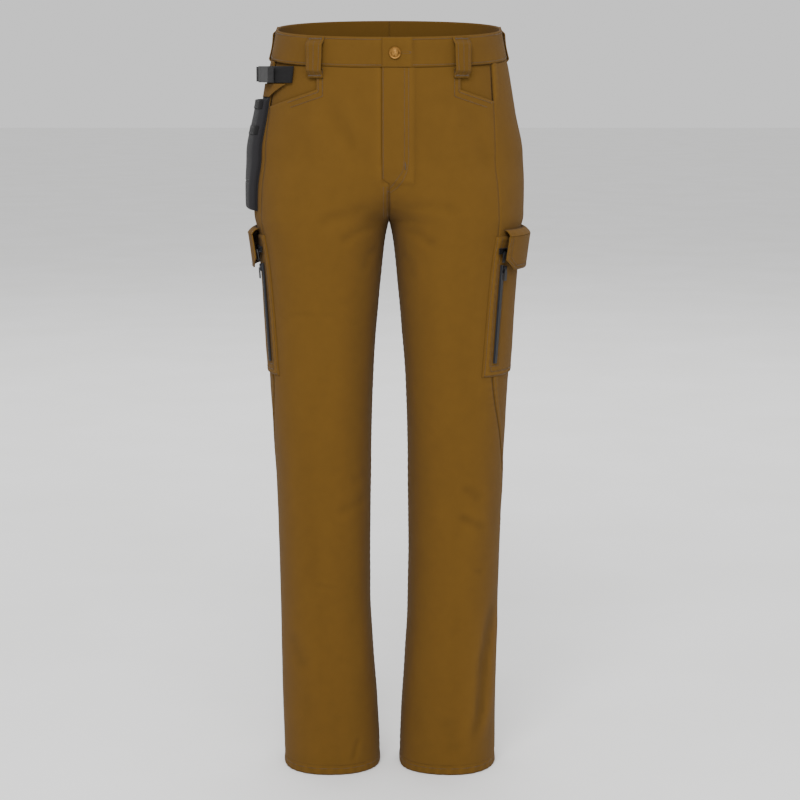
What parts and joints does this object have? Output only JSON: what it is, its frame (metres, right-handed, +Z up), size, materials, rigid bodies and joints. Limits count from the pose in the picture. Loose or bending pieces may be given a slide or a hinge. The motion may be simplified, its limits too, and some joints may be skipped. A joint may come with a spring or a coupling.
{
  "type": "work trousers",
  "caption": "Straight-cut tan work trousers with zipped thigh pockets, lifting flaps, belt loops and a clip-on tool holster at the right hip.",
  "frame": {"origin": "centre of the waist opening, level with the top edge at the side seams", "axes": "+Z up along the legs, -Y the front, +X the wearer's left"},
  "size_m": [0.4172, 0.2575, 1.1082],
  "materials": {
    "leg_canvas": "tan stretch canvas, fine twill",
    "yoke_canvas": "tan stretch canvas",
    "band_canvas": "tan canvas, folded double",
    "band_lining": "tan canvas facing",
    "hem_canvas": "tan canvas, turned up and stitched",
    "facing_canvas": "tan canvas",
    "pocketing": "light plain cotton",
    "patch_canvas": "tan canvas patch, double stitched",
    "loop_canvas": "tan canvas strip, topstitched",
    "fly_zip_tape": "woven tape with brass teeth",
    "zip_brass": "worn brass",
    "shield_canvas": "tan canvas, two layers",
    "button_brass": "antique brass, brushed",
    "cargo_canvas": "tan canvas pocket",
    "flap_canvas": "tan canvas flap, two layers",
    "zip_tape": "black woven tape with moulded teeth",
    "zip_slider": "black enamel",
    "zip_pull": "black cord in a moulded end",
    "holster_nylon": "black coated nylon",
    "webbing": "black woven webbing",
    "tab_canvas": "tan canvas tab",
    "buckle_plastic": "black moulded acetal"
  },
  "bodies": {
    "garment": {"front_panel_left": "leg_canvas", "side_panel_left": "leg_canvas", "yoke_left": "yoke_canvas", "back_panel_left": "leg_canvas", "front_panel_right": "leg_canvas", "side_panel_right": "leg_canvas", "yoke_right": "yoke_canvas", "back_panel_right": "leg_canvas", "waistband_left": "band_canvas", "waistband_lining_left": "band_lining", "waistband_right": "band_canvas", "waistband_lining_right": "band_lining", "hem_left": "hem_canvas", "hem_right": "hem_canvas", "pocket_facing_left": "facing_canvas", "pocket_bag_left": "pocketing", "pocket_facing_right": "facing_canvas", "pocket_bag_right": "pocketing", "back_pocket_left": "patch_canvas", "back_pocket_right": "patch_canvas", "belt_loop_front_left": "loop_canvas", "belt_loop_front_right": "loop_canvas", "belt_loop_side_left": "loop_canvas", "belt_loop_side_right": "loop_canvas", "belt_loop_back_left": "loop_canvas", "belt_loop_back_right": "loop_canvas", "belt_loop_centre_back": "loop_canvas", "fly_zip": "fly_zip_tape", "fly_shield": "shield_canvas", "button_tack": "button_brass", "cargo_pocket_left": "cargo_canvas", "cargo_flap_band_left": "flap_canvas", "side_zip_left": "zip_tape", "mouth_zip_left": "zip_tape", "cargo_pocket_right": "cargo_canvas", "cargo_flap_band_right": "flap_canvas", "side_zip_right": "zip_tape", "mouth_zip_right": "zip_tape", "strap_front": "webbing", "buckle_socket": "buckle_plastic"},
    "button": {"button_cap": "button_brass"},
    "fly_slider": {"fly_zip_slider": "zip_brass"},
    "fly_pull": {"fly_zip_pull": "zip_brass"},
    "holster": {"holster_backer": "holster_nylon", "holster_pouch": "holster_nylon", "holster_rib_upper": "webbing", "holster_rib_lower": "webbing", "holster_tab": "tab_canvas"},
    "buckle_plug": {"buckle_plug": "buckle_plastic", "strap_rear": "webbing"},
    "flap_left": {"cargo_flap_left": "flap_canvas"},
    "side_slider_left": {"side_zip_left_slider": "zip_slider"},
    "side_pull_left": {"side_zip_left_pull": "zip_pull"},
    "mouth_slider_left": {"mouth_zip_left_slider": "zip_slider"},
    "mouth_pull_left": {"mouth_zip_left_pull": "zip_pull"},
    "flap_right": {"cargo_flap_right": "flap_canvas"},
    "side_slider_right": {"side_zip_right_slider": "zip_slider"},
    "side_pull_right": {"side_zip_right_pull": "zip_pull"},
    "mouth_slider_right": {"mouth_zip_right_slider": "zip_slider"},
    "mouth_pull_right": {"mouth_zip_right_pull": "zip_pull"}
  },
  "joints": [
    {"name": "button_turn", "type": "hinge", "parent": "garment", "child": "button", "pos_m": [0.009, -0.11458, -0.03499], "axis": [0, -1, 0], "continuous": true},
    {"name": "fly_slider_run", "type": "slide", "parent": "garment", "child": "fly_slider", "axis": [0, 0.0553, -0.9985], "range_m": [0, 0.128]},
    {"name": "fly_pull_swing", "type": "hinge", "parent": "fly_slider", "child": "fly_pull", "pos_m": [0.006, -0.10386, -0.06366], "axis": [1, 0, 0], "range_deg": [0, 5]},
    {"name": "side_slider_left_run", "type": "slide", "parent": "garment", "child": "side_slider_left", "axis": [-0.065, 0.0126, -0.9978], "range_m": [0, 0.13]},
    {"name": "side_pull_left_swing", "type": "hinge", "parent": "side_slider_left", "child": "side_pull_left", "pos_m": [0.16722, -0.07741, -0.34032], "axis": [-0.6715, -0.7402, 0.0344], "range_deg": [0, 150]},
    {"name": "mouth_slider_left_run", "type": "hinge", "parent": "garment", "child": "mouth_slider_left", "pos_m": [0.07685, 0.00172, -0.314], "axis": [0, 0, 1], "range_deg": [0, 55.3]},
    {"name": "mouth_pull_left_swing", "type": "hinge", "parent": "mouth_slider_left", "child": "mouth_pull_left", "pos_m": [0.16545, -0.08371, -0.314], "axis": [-0.6941, -0.7198, 0], "range_deg": [0, 60]},
    {"name": "flap_left_lift", "type": "hinge", "parent": "garment", "child": "flap_left", "pos_m": [0.20641, -0.02078, -0.293], "axis": [-0.1908, -0.9816, 0], "range_deg": [0, 100]},
    {"name": "side_slider_right_run", "type": "slide", "parent": "garment", "child": "side_slider_right", "axis": [0.0665, -0.0154, -0.9977], "range_m": [0, 0.13]},
    {"name": "side_pull_right_swing", "type": "hinge", "parent": "side_slider_right", "child": "side_pull_right", "pos_m": [-0.18709, -0.0445, -0.34033], "axis": [-0.3118, 0.9495, -0.0354], "range_deg": [0, 150]},
    {"name": "mouth_slider_right_run", "type": "hinge", "parent": "garment", "child": "mouth_slider_right", "pos_m": [-0.03403, 0.00344, -0.314], "axis": [0, 0, -1], "range_deg": [0, 41.2]},
    {"name": "mouth_pull_right_swing", "type": "hinge", "parent": "mouth_slider_right", "child": "mouth_pull_right", "pos_m": [-0.19043, -0.0473, -0.314], "axis": [-0.3086, 0.9512, 0], "range_deg": [0, 60]},
    {"name": "flap_right_lift", "type": "hinge", "parent": "garment", "child": "flap_right", "pos_m": [-0.20743, 0.02492, -0.293], "axis": [0.225, 0.9744, 0], "range_deg": [0, 100]},
    {"name": "holster_swing", "type": "hinge", "parent": "garment", "child": "holster", "pos_m": [-0.17932, 0.01, -0.0775], "axis": [0, 1, 0], "range_deg": [0, 50]},
    {"name": "buckle_release", "type": "slide", "parent": "garment", "child": "buckle_plug", "axis": [-0.4071, 0.9134, 0], "range_m": [0, 0.022]}
  ]
}
